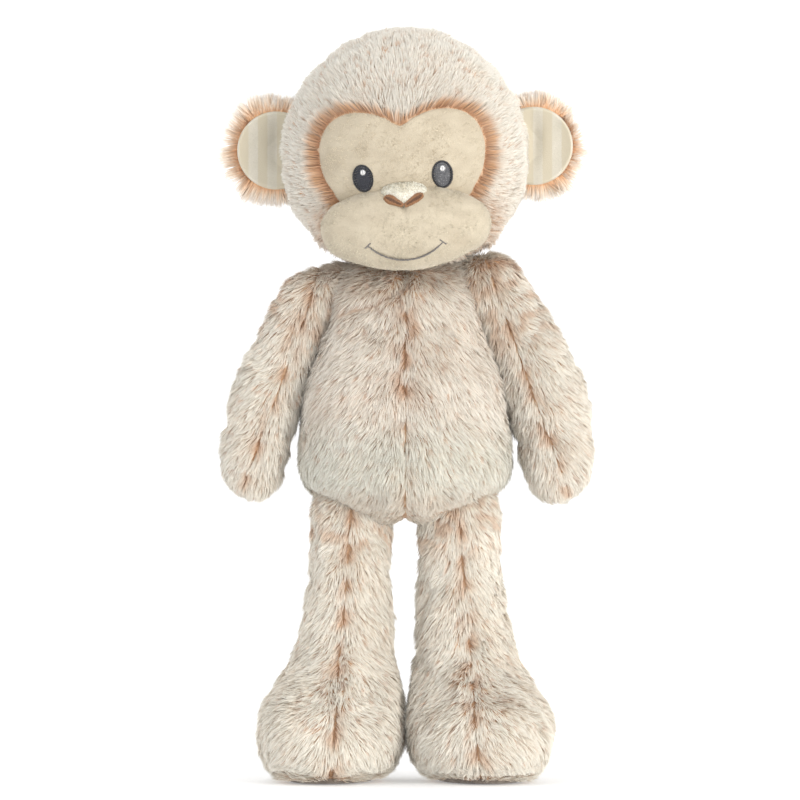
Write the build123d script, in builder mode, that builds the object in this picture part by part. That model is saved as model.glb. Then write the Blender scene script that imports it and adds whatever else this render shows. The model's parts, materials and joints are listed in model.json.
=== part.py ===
from build123d import *
from math import cos, radians, sin
import os

os.makedirs("parts", exist_ok=True)

# A stuffed monkey, standing. Millimetres, +Z up, origin on the ground between the feet.
# The toy faces -Y, and its own left side is at +X. Fur stands about 4 mm proud of these surfaces.

# Driving dimensions
skin = 1.2  # fabric of every fur and velour panel
stitch = 0.5  # height of embroidery above the fabric
gap = 0.5  # air between two soft bodies that move
ease = 0.2  # air between a skin and the stuffing that fills it
dome_angles = (80, 62, 42, 20)  # sections of the round end of a limb, from its tip

head_radius = 55.5
head_centre = (0, 3, 299.5)
head_roll = 3.0  # the head leans towards its right shoulder
head_turn = 2.2  # and looks a little to its right

muzzle_half_width = 39.5
muzzle_radius = 20.0
muzzle_end_radius = 14.0
muzzle_drop = 38.5  # below the head's centre
muzzle_forward = 44.0

brow_half_width = 38.6
brow_top = 17.6  # above the head's centre, like the next three
brow_notch = 10.8
brow_cheek = -24.5
brow_hem = -27.0

eye_spread = 18.7
eye_height = -13.0
eye_half_width = 5.0
eye_half_height = 6.5
eye_ring = 1.1
highlight_half_width = 1.2
highlight_half_height = 1.75
highlight_rise = 2.7

nose_size = (11.0, 8.3, 4.5)  # half width, half length, half thickness
nose_height = -22.0
nose_forward = 54.5
nose_slope = 39.0
nostril_outer = (9.4, -22.8)
nostril_inner = (0.4, -27.4)
nostril_half_width = 1.5

mouth_half_width = 17.5
mouth_corner = -45.5
mouth_bottom = -53.0
mouth_thread = 1.0
mouth_tick = 2.2

ear_middle = 61.0  # out from the head's centre
ear_radius = 19.5
ear_half_thickness = 4.5
ear_rim = 4.0
ear_root = 57.4
ear_lift = 1.1  # the left ear is higher than the right one by twice this

torso_top = 240.0
torso_bottom = 121.0
torso_sections = (  # height, half width, half depth, middle of the depth
    (121, 14, 12, 0),
    (124, 28, 24, 0),
    (130, 39, 33, 0),
    (142, 45.5, 39.5, -1),
    (158, 46.5, 42, -2),
    (178, 44.0, 39.8, -2),
    (200, 38.6, 35.6, -1),
    (218, 32.5, 31, 0),
    (230, 30, 27.5, 1),
    (236, 26, 24, 2),
    (240, 20, 19, 3),
)

neck_seam_radius = 17.0
neck_seam_thread = 0.9
neck_seam_centre = (0, 3, 241.6)

shoulder = (44.7, 0, 226.5)  # the left one, and the right one mirrors it
shoulder_radius = 13.8
shoulder_socket = 16.6
shoulder_seam_radius = 7.0
shoulder_seam_thread = 0.6
shoulder_seam_inset = 13.1
arm_lean = 21.7
arm_sections = (  # distance from the shoulder, half width, half depth, bend towards the body
    (0, 13.8, 13.8, 0),
    (22, 14.8, 14.3, -1.0),
    (46, 16.0, 15.2, -1.9),
    (66, 16.0, 15.2, -0.3),
    (79, 15.0, 14.5, 1.8),
    (88, 12.4, 12.0, 3.6),
    (93.5, 8.8, 8.5, 4.8),
    (96.5, 3.8, 3.7, 5.4),
)

hip = (25.5, 0, 127.0)  # the left one
hip_radius = 17.0
hip_inner = 7.2  # the crotch between the two legs is twice this wide
thigh_room = 19.4
swing_back = 20.0  # how far a leg swings behind the body
foot_turn = 12.0  # toes point outwards
sole_thickness = 1.6
leg_sections = (  # height, middle, half width, half depth, middle of the depth, share of foot_turn
    (sole_thickness, 35.0, 19.0, 27.5, -13, 1),
    (7, 35.2, 25.4, 33.8, -13, 1),
    (17, 35.2, 30.6, 39.0, -12.5, 1),
    (30, 35.0, 31.2, 37, -11, 1),
    (42, 32.6, 27.2, 30, -7, 0.7),
    (52, 30.4, 23.2, 24, -3.5, 0.3),
    (63, 28.8, 20.6, 20.6, -1, 0),
    (85, 27.0, 18.6, 18.6, 0, 0),
    (107, 25.8, 17.3, 17.3, 0, 0),
    (127, 25.5, 17.0, 17.0, 0, 0),
)

stitch_count = 7
stitch_pitch = 6.0
stitch_first = 168.0
stitch_half_length = 2.4
stitch_width = 0.8
label_size = (0.8, 14.0, 22.0)
label_place = (9.0, 40.0, 150.0)

sides = {"left": 1, "right": -1}

face = Plane(
    origin=head_centre,
    x_dir=(cos(radians(head_roll)), 0, sin(radians(head_roll))),
    z_dir=(-sin(radians(head_turn)), -cos(radians(head_turn)), 0),
)
muzzle_profile = Plane(  # its y axis points the way the face looks
    origin=face.from_local_coords((0, -muzzle_drop, muzzle_forward)),
    x_dir=face.x_dir,
    z_dir=-face.y_dir,
)
muzzle_front = face.offset(muzzle_forward)


def finish(builder, label):
    """Name a finished piece and write it."""
    builder.part.label = label
    export_step(builder.part, f"parts/{label}.step")


def on_side(form, side):
    """A form made for the left side, or its mirror image for the right."""
    return form if side > 0 else mirror(form, about=Plane.YZ)


# Head


def head_ball(inset):
    with BuildPart() as form:
        with Locations(head_centre):
            Sphere(head_radius - inset)
    return form.part


def muzzle_form(inset):
    """A fat sausage across the face: round ends joined by a bulging arc tangent to both."""
    end_centre = muzzle_half_width - muzzle_end_radius
    taper = muzzle_radius - muzzle_end_radius
    arc_centre = (end_centre**2 - taper**2) / (2 * taper)
    touch = Vector(end_centre, arc_centre).normalized() * (arc_centre + muzzle_radius - inset)
    touch_y = touch.Y - arc_centre
    half_width = muzzle_half_width - inset
    end_radius = muzzle_end_radius - inset
    with BuildPart() as form:
        with BuildSketch(muzzle_profile):
            with BuildLine():
                ThreePointArc((-touch.X, touch_y), (0, muzzle_radius - inset), (touch.X, touch_y))
                RadiusArc((touch.X, touch_y), (half_width, 0), end_radius)
                Line((half_width, 0), (-half_width, 0))
                RadiusArc((-half_width, 0), (-touch.X, touch_y), end_radius)
            make_face()
        revolve(axis=Axis(muzzle_profile.origin, muzzle_profile.x_dir))
    return form.part


def brow_prism():
    """The heart-shaped outline of the brow panel, swept forwards from the head's centre."""
    with BuildPart() as form:
        with BuildSketch(face):
            with BuildLine():
                Spline(
                    (0, brow_notch),
                    (0.55 * brow_half_width, brow_top),
                    (0.9 * brow_half_width, 0.67 * brow_top),
                    (brow_half_width, -2.3),
                    (0.86 * brow_half_width, -18),
                    (0.74 * brow_half_width, brow_cheek),
                    tangents=((1, 0.7), (-0.7, -1)),
                )
                Polyline((0.74 * brow_half_width, brow_cheek), (0, brow_hem), (0, brow_notch))
            make_face()
            mirror(about=Plane.YZ)
        extrude(amount=head_radius + 5)
    return form.part


head_outside = head_ball(0)
head_inside = head_ball(skin)
muzzle_outside = muzzle_form(0)
muzzle_inside = muzzle_form(skin)
brow = brow_prism()

with BuildPart() as head_stuffing:
    add(head_ball(skin + ease))
    add(muzzle_form(skin + ease))
finish(head_stuffing, "head_stuffing")

for name, side in sides.items():
    with BuildPart() as hood:
        add(head_outside)
        add(head_inside, mode=Mode.SUBTRACT)
        add(brow, mode=Mode.SUBTRACT)
        add(muzzle_outside, mode=Mode.SUBTRACT)
        seam = Plane(origin=head_centre, x_dir=face.z_dir, z_dir=face.x_dir)
        split(bisect_by=seam, keep=Keep.TOP if side > 0 else Keep.BOTTOM)
    finish(hood, f"hood_{name}")

with BuildPart() as brow_panel:
    add(head_outside)
    add(head_inside, mode=Mode.SUBTRACT)
    add(brow, mode=Mode.INTERSECT)
    add(muzzle_outside, mode=Mode.SUBTRACT)
finish(brow_panel, "brow_panel")

with BuildPart() as muzzle_panel:
    add(muzzle_outside)
    add(muzzle_inside, mode=Mode.SUBTRACT)
    add(head_outside, mode=Mode.SUBTRACT)
finish(muzzle_panel, "muzzle_panel")

# Nose, nostrils and mouth


def nose_form(extra):
    """A flat pad that lies on the slope between muzzle and brow."""
    half_width, half_length, half_thickness = (size + extra for size in nose_size)
    pad = scale(Sphere(1), by=(half_width, half_length, half_thickness))
    place = face * Pos(0, nose_height, nose_forward) * Rot(-nose_slope, 0, 0)
    return place * pad


nose_outside = nose_form(0)
nose_stitched = nose_form(stitch)
muzzle_stitched = muzzle_form(-stitch)

with BuildPart() as nose_patch:
    add(nose_outside)
    add(muzzle_outside, mode=Mode.SUBTRACT)
    add(head_outside, mode=Mode.SUBTRACT)
finish(nose_patch, "nose_patch")

with BuildPart() as nostrils:
    with BuildSketch(muzzle_front):
        for side in sides.values():
            outer = (side * nostril_outer[0], nostril_outer[1])
            inner = (side * nostril_inner[0], nostril_inner[1])
            middle_x = (outer[0] + inner[0]) / 2
            middle_y = (outer[1] + inner[1]) / 2
            with BuildLine():
                ThreePointArc(outer, (middle_x, middle_y + nostril_half_width), inner)
                ThreePointArc(inner, (middle_x, middle_y - nostril_half_width), outer)
            make_face()
    extrude(amount=2 * muzzle_radius)
    add(nose_stitched + muzzle_stitched, mode=Mode.INTERSECT)
    add(nose_outside, mode=Mode.SUBTRACT)
    add(muzzle_outside, mode=Mode.SUBTRACT)
finish(nostrils, "nostrils")

with BuildPart() as mouth_stitch:
    with BuildSketch(muzzle_front):
        corners = [(side * mouth_half_width, mouth_corner) for side in sides.values()]
        with BuildLine():
            ThreePointArc(corners[0], (0, mouth_bottom), corners[1])
        trace(line_width=mouth_thread)
        for side, corner in zip(sides.values(), corners):
            with Locations(corner):
                Rectangle(2 * mouth_tick, mouth_thread, rotation=side * -38)
    extrude(amount=2 * muzzle_radius)
    add(muzzle_stitched, mode=Mode.INTERSECT)
    add(muzzle_outside, mode=Mode.SUBTRACT)
finish(mouth_stitch, "mouth_stitch")

# Eyes: an outline, a fill and a highlight, each embroidered on the brow panel

eye_tilt = {"left": 1.0, "right": 10.0}
eye_stitched = head_ball(-stitch)
highlight_stitched = head_ball(-2 * stitch)

for name, side in sides.items():
    centre = (side * eye_spread, eye_height)
    tilt = -side * eye_tilt[name]
    spark = (centre[0], centre[1] + highlight_rise)
    with BuildPart() as eye_outline:
        with BuildSketch(face):
            with Locations(centre):
                Ellipse(eye_half_width, eye_half_height, rotation=tilt)
                Ellipse(
                    eye_half_width - eye_ring,
                    eye_half_height - eye_ring,
                    rotation=tilt,
                    mode=Mode.SUBTRACT,
                )
        extrude(amount=head_radius + 5)
        add(eye_stitched, mode=Mode.INTERSECT)
        add(head_outside, mode=Mode.SUBTRACT)
    finish(eye_outline, f"eye_outline_{name}")

    with BuildPart() as eye_fill:
        with BuildSketch(face):
            with Locations(centre):
                Ellipse(eye_half_width - eye_ring, eye_half_height - eye_ring, rotation=tilt)
        extrude(amount=head_radius + 5)
        add(eye_stitched, mode=Mode.INTERSECT)
        add(head_outside, mode=Mode.SUBTRACT)
    finish(eye_fill, f"eye_fill_{name}")

    with BuildPart() as eye_highlight:
        with BuildSketch(face):
            with Locations(spark):
                Ellipse(highlight_half_width, highlight_half_height, rotation=tilt)
        extrude(amount=head_radius + 5)
        add(highlight_stitched, mode=Mode.INTERSECT)
        add(eye_stitched, mode=Mode.SUBTRACT)
    finish(eye_highlight, f"eye_highlight_{name}")

# Ears: a thin cushion of wadding between a striped lining in front and fur behind, round at the root


def ear_form(inset):
    """The left ear, about the head's centre."""
    radius = ear_radius - inset
    half_thickness = ear_half_thickness - inset
    with BuildPart() as form:
        with Locations((ear_middle, 0, 0)):
            Cylinder(radius, 2 * half_thickness + 1, rotation=(90, 0, 0))
        fillet(form.edges().filter_by(GeomType.CIRCLE), ear_rim - inset)
        with BuildSketch(Plane.XY):
            with Locations((ear_root + inset + ear_radius, 0)):
                SlotOverall(2 * ear_radius, 2 * half_thickness)
        extrude(amount=ear_radius + 1, both=True, mode=Mode.INTERSECT)
    return form.part


ear_seam = Plane.XZ.offset(-head_centre[1])

for name, side in sides.items():
    place = Pos(*head_centre) * Pos(0, 0, side * ear_lift) * Rot(0, 0, 90 - side * 90)
    ear_outside = place * ear_form(0)
    ear_inside = place * ear_form(skin)
    with BuildPart() as ear_wadding:
        add(place * ear_form(skin + ease))
    finish(ear_wadding, f"ear_wadding_{name}")

    with BuildPart() as ear_lining:
        add(ear_outside)
        add(ear_inside, mode=Mode.SUBTRACT)
        split(bisect_by=ear_seam, keep=Keep.TOP)
    finish(ear_lining, f"ear_lining_{name}")

    with BuildPart() as ear_back:
        add(ear_outside)
        add(ear_inside, mode=Mode.SUBTRACT)
        split(bisect_by=ear_seam, keep=Keep.BOTTOM)
    finish(ear_back, f"ear_back_{name}")

# Body


def leg_room(side, extra):
    """What a leg sweeps as it swings from behind the body to straight in front of it."""
    length = 60
    middle = side * (hip_inner - extra + length / 2)
    radius = hip_radius + gap + extra
    top = thigh_room + extra
    depth = 90
    with BuildPart() as form:
        with Locations((middle, 0, hip[2])):
            Cylinder(radius, length, rotation=(0, 90, 0))
        with Locations((middle, 0, hip[2] + top)):
            Box(length, depth, depth, align=(Align.CENTER, Align.MAX, Align.MAX))
        behind = Plane((middle, 0, hip[2])).rotated((swing_back, 0, 0))
        with BuildSketch(behind):
            Rectangle(length, 2 * radius)
        extrude(amount=-depth)
    return form.part


def torso_form(inset):
    """A pear, flat at the neck, with room for the shoulders and for the swinging legs."""
    rooms = [leg_room(side, inset) for side in sides.values()]
    with BuildPart() as form:
        for height, half_width, half_depth, middle in torso_sections:
            level = min(max(height, torso_bottom + inset), torso_top - inset)
            with BuildSketch(Plane.XY.offset(level)):
                with Locations((0, middle)):
                    Ellipse(half_width - inset, half_depth - inset)
        loft()
        with Locations(*[(side * shoulder[0], 0, shoulder[2]) for side in sides.values()]):
            Sphere(shoulder_socket + inset, mode=Mode.SUBTRACT)
        for room in rooms:
            add(room, mode=Mode.SUBTRACT)
    return form.part


torso_outside = torso_form(0)
torso_inside = torso_form(skin)
torso_stitched = torso_form(-stitch)

with BuildPart() as torso_stuffing:
    add(torso_form(skin + ease))
finish(torso_stuffing, "torso_stuffing")

for name, side in sides.items():
    for place, keep_depth in (("front", Keep.TOP), ("back", Keep.BOTTOM)):
        with BuildPart() as torso_panel:
            add(torso_outside)
            add(torso_inside, mode=Mode.SUBTRACT)
            split(bisect_by=Plane.YZ, keep=Keep.TOP if side > 0 else Keep.BOTTOM)
            split(bisect_by=Plane.XZ, keep=keep_depth)
        finish(torso_panel, f"torso_{place}_{name}")

with BuildPart() as closing_stitches:
    for number in range(stitch_count):
        with Locations((0, 30, stitch_first + number * stitch_pitch)):
            Box(2 * stitch_half_length, 40, stitch_width, rotation=(0, 20, 0))
    add(torso_stitched, mode=Mode.INTERSECT)
    add(torso_outside, mode=Mode.SUBTRACT)
finish(closing_stitches, "closing_stitches")

with BuildPart() as care_label:
    with Locations(label_place):
        Box(*label_size)
    add(torso_outside, mode=Mode.SUBTRACT)
finish(care_label, "care_label")

with BuildPart() as neck_seam:
    with Locations(neck_seam_centre):
        Torus(neck_seam_radius, neck_seam_thread)
finish(neck_seam, "neck_seam")

# Arms: a gently bent sausage, round at the shoulder


def arm_form(inset):
    """The left arm."""
    lean = radians(arm_lean)
    across = Plane(
        origin=shoulder,
        x_dir=(-cos(lean), 0, -sin(lean)),
        z_dir=(sin(lean), 0, -cos(lean)),
    )
    radius = shoulder_radius - inset
    end = arm_sections[-1][0] - inset
    with BuildPart() as form:
        for angle in dome_angles:
            with BuildSketch(across.offset(-radius * sin(radians(angle)))):
                Circle(radius * cos(radians(angle)))
        for distance, half_width, half_depth, bend in arm_sections:
            with BuildSketch(across.offset(min(distance, end))):
                with Locations((bend, 0)):
                    Ellipse(half_width - inset, half_depth - inset)
        loft()
    return form.part


for name, side in sides.items():
    arm_outside = on_side(arm_form(0), side)
    arm_inside = on_side(arm_form(skin), side)
    lean = radians(arm_lean)
    seam = Plane(
        origin=(side * shoulder[0], 0, shoulder[2]),
        x_dir=(0, 1, 0),
        z_dir=(side * cos(lean), 0, sin(lean)),
    )
    with BuildPart() as arm_stuffing:
        add(on_side(arm_form(skin + ease), side))
    finish(arm_stuffing, f"arm_stuffing_{name}")

    for place, kept in (("outer", Keep.TOP), ("inner", Keep.BOTTOM)):
        with BuildPart() as arm_panel:
            add(arm_outside)
            add(arm_inside, mode=Mode.SUBTRACT)
            split(bisect_by=seam, keep=kept)
        finish(arm_panel, f"arm_{place}_{name}")

    with BuildPart() as shoulder_seam:
        with Locations((side * (shoulder[0] - shoulder_seam_inset), 0, shoulder[2])):
            Torus(shoulder_seam_radius, shoulder_seam_thread, rotation=(0, 90, 0))
    finish(shoulder_seam, f"shoulder_seam_{name}")

# Legs: a soft column on a big foot, with a flat sole


def leg_form(inset):
    """The left leg."""
    radius = hip_radius - inset
    with BuildPart() as form:
        for height, middle, half_width, half_depth, depth_middle, turn in leg_sections:
            with BuildSketch(Plane.XY.offset(height)):
                with Locations((middle, depth_middle)):
                    Ellipse(half_width - inset, half_depth - inset, rotation=turn * foot_turn)
        for angle in reversed(dome_angles):
            with BuildSketch(Plane.XY.offset(hip[2] + radius * sin(radians(angle)))):
                with Locations((hip[0], hip[1])):
                    Circle(radius * cos(radians(angle)))
        loft()
    return form.part


for name, side in sides.items():
    leg_outside = on_side(leg_form(0), side)
    leg_inside = on_side(leg_form(skin), side)
    with BuildPart() as leg_stuffing:
        add(on_side(leg_form(skin + ease), side))
    finish(leg_stuffing, f"leg_stuffing_{name}")

    seam = Plane(
        origin=(side * (hip[0] - skin), 0, hip[2]),
        x_dir=(0, 1, 0),
        z_dir=(side * hip[2], 0, leg_sections[0][1] - hip[0]),
    )
    for place, kept in (("outer", Keep.TOP), ("inner", Keep.BOTTOM)):
        with BuildPart() as leg_panel:
            add(leg_outside)
            add(leg_inside, mode=Mode.SUBTRACT)
            split(bisect_by=seam, keep=kept)
        finish(leg_panel, f"leg_{place}_{name}")

    _, middle, half_width, half_depth, depth_middle, turn = leg_sections[0]
    with BuildPart() as sole:
        with BuildSketch(Plane.XY):
            with Locations((side * middle, depth_middle)):
                Ellipse(half_width, half_depth, rotation=side * turn * foot_turn)
        extrude(amount=sole_thickness)
    finish(sole, f"sole_{name}")
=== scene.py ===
import json
import math

import bmesh
import bpy
import numpy as np
from mathutils import Matrix, Vector
from mathutils.kdtree import KDTree


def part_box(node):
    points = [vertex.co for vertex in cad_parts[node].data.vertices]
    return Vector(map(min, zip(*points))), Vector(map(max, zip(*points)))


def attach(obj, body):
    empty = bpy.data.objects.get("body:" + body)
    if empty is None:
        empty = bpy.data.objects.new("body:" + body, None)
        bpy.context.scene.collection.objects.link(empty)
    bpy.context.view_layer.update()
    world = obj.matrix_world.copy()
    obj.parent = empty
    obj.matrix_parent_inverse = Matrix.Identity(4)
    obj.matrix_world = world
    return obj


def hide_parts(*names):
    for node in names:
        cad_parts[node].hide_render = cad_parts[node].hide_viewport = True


# A stuffed monkey of long-pile fur fabric. Metres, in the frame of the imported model.
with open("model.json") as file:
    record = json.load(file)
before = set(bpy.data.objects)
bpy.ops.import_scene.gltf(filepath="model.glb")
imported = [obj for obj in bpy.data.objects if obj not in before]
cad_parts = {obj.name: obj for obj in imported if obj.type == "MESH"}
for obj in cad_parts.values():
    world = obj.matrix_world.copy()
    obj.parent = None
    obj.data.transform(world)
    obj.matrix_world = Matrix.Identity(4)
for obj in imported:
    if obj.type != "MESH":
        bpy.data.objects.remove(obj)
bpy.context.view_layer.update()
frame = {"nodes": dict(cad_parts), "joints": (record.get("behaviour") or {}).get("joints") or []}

mm = 0.001
sides = {"left": 1, "right": -1}


# Places, from the frame


def box(*nodes):
    """Lowest and highest corner of some CAD nodes together."""
    corners = np.array([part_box(node) for node in nodes])
    return corners[:, 0].min(axis=0), corners[:, 1].max(axis=0)


def pivot(joint):
    """Where a joint turns."""
    found = [j for j in frame["joints"] if j["name"] == joint]
    return np.array(found[0]["pos_m"])


_, hood_high = box("hood_left", "hood_right")
head_radius = hood_high[0]
head_centre = np.array([0.0, hood_high[1] - head_radius, hood_high[2] - head_radius])
torso_low, torso_high = box("torso_front_left", "torso_front_right", "torso_back_left", "torso_back_right")
torso_middle = (torso_low + torso_high) / 2

head_roll = math.radians(3.0)
head_turn = math.radians(2.2)
level_x = np.array([math.cos(head_turn), -math.sin(head_turn), 0])
face_x = level_x * math.cos(head_roll) + np.array([0, 0, math.sin(head_roll)])
face_z = np.array([-math.sin(head_turn), -math.cos(head_turn), 0])
face_y = np.cross(face_z, face_x)
face_axes = np.array([face_x, face_y, face_z])


def to_face(points):
    """Points of the shared frame as right, up and forward of the head's centre, as the face is turned."""
    return (points - head_centre) @ face_axes.T


def from_face(points):
    return np.asarray(points) @ face_axes + head_centre


# Small tools


def unit(v):
    return v / np.maximum(np.linalg.norm(v, axis=-1, keepdims=True), 1e-12)


def linear(red, green, blue):
    """A display colour, 0 to 255, as linear light."""
    c = np.array([red, green, blue]) / 255
    return np.where(c <= 0.04045, c / 12.92, ((c + 0.055) / 1.055) ** 2.4)


def wobble(points, size, seed):
    """Smooth vector noise of about unit strength, with features of that size in metres."""
    waves = np.random.default_rng(seed)
    total = np.zeros_like(points)
    for octave in range(5):
        directions = unit(waves.normal(size=(3, 3))) * (2 * math.pi / size) * (0.7 + 0.35 * octave)
        phases = waves.uniform(0, 2 * math.pi, 3)
        total += np.sin(points @ directions.T + phases) * 0.45
    return total


def smooth_step(x):
    x = np.clip(x, 0, 1)
    return x * x * (3 - 2 * x)


def bell(x, width):
    """1 where x is 0, falling off smoothly to each side."""
    return np.exp(-((x / width) ** 2))


def full_circle(count):
    return np.linspace(0, 2 * math.pi, count, endpoint=False)


def ball_directions(rows, columns, gap):
    """Directions all round, row by row from straight up to straight down, with a small gap at each end."""
    polar = np.linspace(gap, math.pi - gap, rows)[:, None]
    around = full_circle(columns)[None, :]
    level = np.sin(polar)
    return np.stack(
        [level * np.cos(around), level * np.sin(around), np.cos(polar) * np.ones_like(around)], -1
    ).reshape(-1, 3)


def make_mesh(name, points, faces, material=None):
    """A shaded-smooth mesh object from points and lists of equal-sized faces."""
    mesh = bpy.data.meshes.new(name)
    loops = np.concatenate([f.ravel() for f in faces]).astype(np.int32)
    counts = np.concatenate([np.full(len(f), f.shape[1]) for f in faces]).astype(np.int32)
    starts = np.concatenate([[0], np.cumsum(counts)[:-1]]).astype(np.int32)
    mesh.vertices.add(len(points))
    mesh.vertices.foreach_set("co", np.asarray(points, np.float32).ravel())
    mesh.loops.add(len(loops))
    mesh.loops.foreach_set("vertex_index", loops)
    mesh.polygons.add(len(counts))
    mesh.polygons.foreach_set("loop_start", starts)
    mesh.polygons.foreach_set("loop_total", counts)
    mesh.polygons.foreach_set("use_smooth", np.ones(len(counts), bool))
    mesh.update(calc_edges=True)
    mesh.validate()
    piece = bpy.data.objects.new(name, mesh)
    bpy.context.scene.collection.objects.link(piece)
    if material:
        mesh.materials.append(material)
    return piece


def grid_faces(rows, columns, closed=True):
    """Quads over a grid of points, row by row; closed joins the last column to the first."""
    r = np.arange(rows - 1)[:, None]
    c = np.arange(columns if closed else columns - 1)[None, :]
    n = (c + 1) % columns
    quads = np.stack([r * columns + c, r * columns + n, (r + 1) * columns + n, (r + 1) * columns + c], -1)
    return quads.reshape(-1, 4)


def read_vertices(piece, what):
    values = np.empty(len(piece.data.vertices) * 3, np.float32)
    piece.data.vertices.foreach_get(what, values)
    return values.reshape(-1, 3).astype(float)


def points_of(piece):
    return read_vertices(piece, "co")


def normals_of(piece):
    return read_vertices(piece, "normal")


def triangles_of(mesh):
    mesh.calc_loop_triangles()
    corners = np.empty(len(mesh.loop_triangles) * 3, np.int32)
    mesh.loop_triangles.foreach_get("vertices", corners)
    return corners.reshape(-1, 3)


def move_points(piece, points):
    piece.data.vertices.foreach_set("co", np.asarray(points, np.float32).ravel())
    piece.data.update()


def keep_above(piece, height):
    """Lifts every point that is lower than the height up to it."""
    points = points_of(piece)
    points[:, 2] = np.maximum(points[:, 2], height)
    move_points(piece, points)


def with_modifiers(piece):
    """The piece's own mesh becomes what its modifiers make of it."""
    graph = bpy.context.evaluated_depsgraph_get()
    mesh = bpy.data.meshes.new_from_object(piece.evaluated_get(graph))
    old = piece.data
    piece.modifiers.clear()
    piece.data = mesh
    bpy.data.meshes.remove(old)
    mesh.polygons.foreach_set("use_smooth", np.ones(len(mesh.polygons), bool))


# Materials


def nodes_of(name):
    material = bpy.data.materials.new(name)
    material.use_nodes = True
    tree = material.node_tree
    return material, tree, tree.nodes["Principled BSDF"]


def add(tree, kind, **values):
    """A shader node with its properties and its unlinked inputs set by name."""
    node = tree.nodes.new(kind)
    for key, value in values.items():
        if hasattr(node, key):
            setattr(node, key, value)
        else:
            node.inputs[key.replace("_", " ")].default_value = value
    return node


def noise(tree, scale, detail=3.0, stretch=(1, 1, 1)):
    place = add(tree, "ShaderNodeTexCoord")
    mapping = add(tree, "ShaderNodeMapping")
    mapping.inputs["Scale"].default_value = stretch
    tree.links.new(place.outputs["Object"], mapping.inputs["Vector"])
    made = add(tree, "ShaderNodeTexNoise", Scale=scale, Detail=detail)
    tree.links.new(mapping.outputs["Vector"], made.inputs["Vector"])
    return made


def ramp(tree, source, stops):
    made = add(tree, "ShaderNodeValToRGB")
    while len(made.color_ramp.elements) < len(stops):
        made.color_ramp.elements.new(0.5)
    for element, (position, colour) in zip(made.color_ramp.elements, stops):
        element.position = position
        element.color = (*colour, 1)
    tree.links.new(source, made.inputs["Fac"])
    return made


def bump(tree, shader, heights, strength=0.4, distance=0.3 * mm):
    """Bump from several height sources, one after another."""
    last = None
    for height in heights:
        made = add(tree, "ShaderNodeBump", Strength=strength, Distance=distance)
        tree.links.new(height, made.inputs["Height"])
        if last:
            tree.links.new(last.outputs["Normal"], made.inputs["Normal"])
        last = made
    tree.links.new(last.outputs["Normal"], shader.inputs["Normal"])


def cloth_finish(shader, roughness, sheen, sheen_roughness=0.5, tint=(1, 1, 1)):
    shader.inputs["Roughness"].default_value = roughness
    shader.inputs["Specular IOR Level"].default_value = 0.2
    shader.inputs["Sheen Weight"].default_value = sheen
    shader.inputs["Sheen Roughness"].default_value = sheen_roughness
    shader.inputs["Sheen Tint"].default_value = (*tint, 1)


def fibre_material(name, roughness=0.7, sheen=0.25):
    """Pile whose colour is carried by its points, root to tip."""
    material, tree, shader = nodes_of(name)
    colour = add(tree, "ShaderNodeAttribute", attribute_name="Pile")
    tree.links.new(colour.outputs["Color"], shader.inputs["Base Color"])
    cloth_finish(shader, roughness, sheen, 0.4)
    return material


def backing_material():
    """The knitted back of the fur fabric, seen between the tufts: rust brown like the hairs' roots and dark
    enough to paint the shade between the tufts, lighter and darker in patches.
    """
    material, tree, shader = nodes_of("fur_backing")
    patches = noise(tree, 260, 4)
    colour = ramp(
        tree,
        patches.outputs["Fac"],
        [(0.3, linear(166, 124, 92)), (0.55, linear(202, 166, 134)), (0.75, linear(222, 196, 170))],
    )
    tree.links.new(colour.outputs["Color"], shader.inputs["Base Color"])
    knit = noise(tree, 1400, 2, (1, 1, 0.5))
    bump(tree, shader, [knit.outputs["Fac"]], 0.5, 0.4 * mm)
    cloth_finish(shader, 0.9, 0.2)
    return material


def velour_material(name, low, high, stripe=None):
    """Short dense pile: cloudy where it is stroked, a fine grain, and a soft bright edge."""
    material, tree, shader = nodes_of(name)
    stroke = noise(tree, 75, 3, (1, 1, 1.6))
    base = ramp(tree, stroke.outputs["Fac"], [(0.32, low), (0.68, high)])
    grain = noise(tree, 1900, 2)
    pile = ramp(tree, grain.outputs["Fac"], [(0.3, (0.86, 0.86, 0.86)), (0.65, (1, 1, 1))])
    mixed = add(tree, "ShaderNodeMix", data_type="RGBA", blend_type="MULTIPLY")
    mixed.inputs["Factor"].default_value = 0.6
    tree.links.new(base.outputs["Color"], mixed.inputs["A"])
    tree.links.new(pile.outputs["Color"], mixed.inputs["B"])
    last = mixed.outputs["Result"]
    if stripe:
        pitch, colour = stripe
        place = add(tree, "ShaderNodeTexCoord")
        waves = add(tree, "ShaderNodeTexWave", wave_type="BANDS", bands_direction="X")
        waves.inputs["Scale"].default_value = math.pi / (10 * pitch)
        waves.inputs["Distortion"].default_value = 0.35
        waves.inputs["Detail Scale"].default_value = 40
        tree.links.new(place.outputs["Object"], waves.inputs["Vector"])
        edge = ramp(tree, waves.outputs["Fac"], [(0.42, (0, 0, 0)), (0.58, (1, 1, 1))])
        striped = add(tree, "ShaderNodeMix", data_type="RGBA")
        striped.inputs["B"].default_value = (*colour, 1)
        tree.links.new(edge.outputs["Color"], striped.inputs["Factor"])
        tree.links.new(last, striped.inputs["A"])
        last = striped.outputs["Result"]
    tree.links.new(last, shader.inputs["Base Color"])
    bump(tree, shader, [stroke.outputs["Fac"], grain.outputs["Fac"]], 0.35, 0.35 * mm)
    cloth_finish(shader, 0.85, 0.5, 0.35, (1, 0.97, 0.92))
    return material


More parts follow.
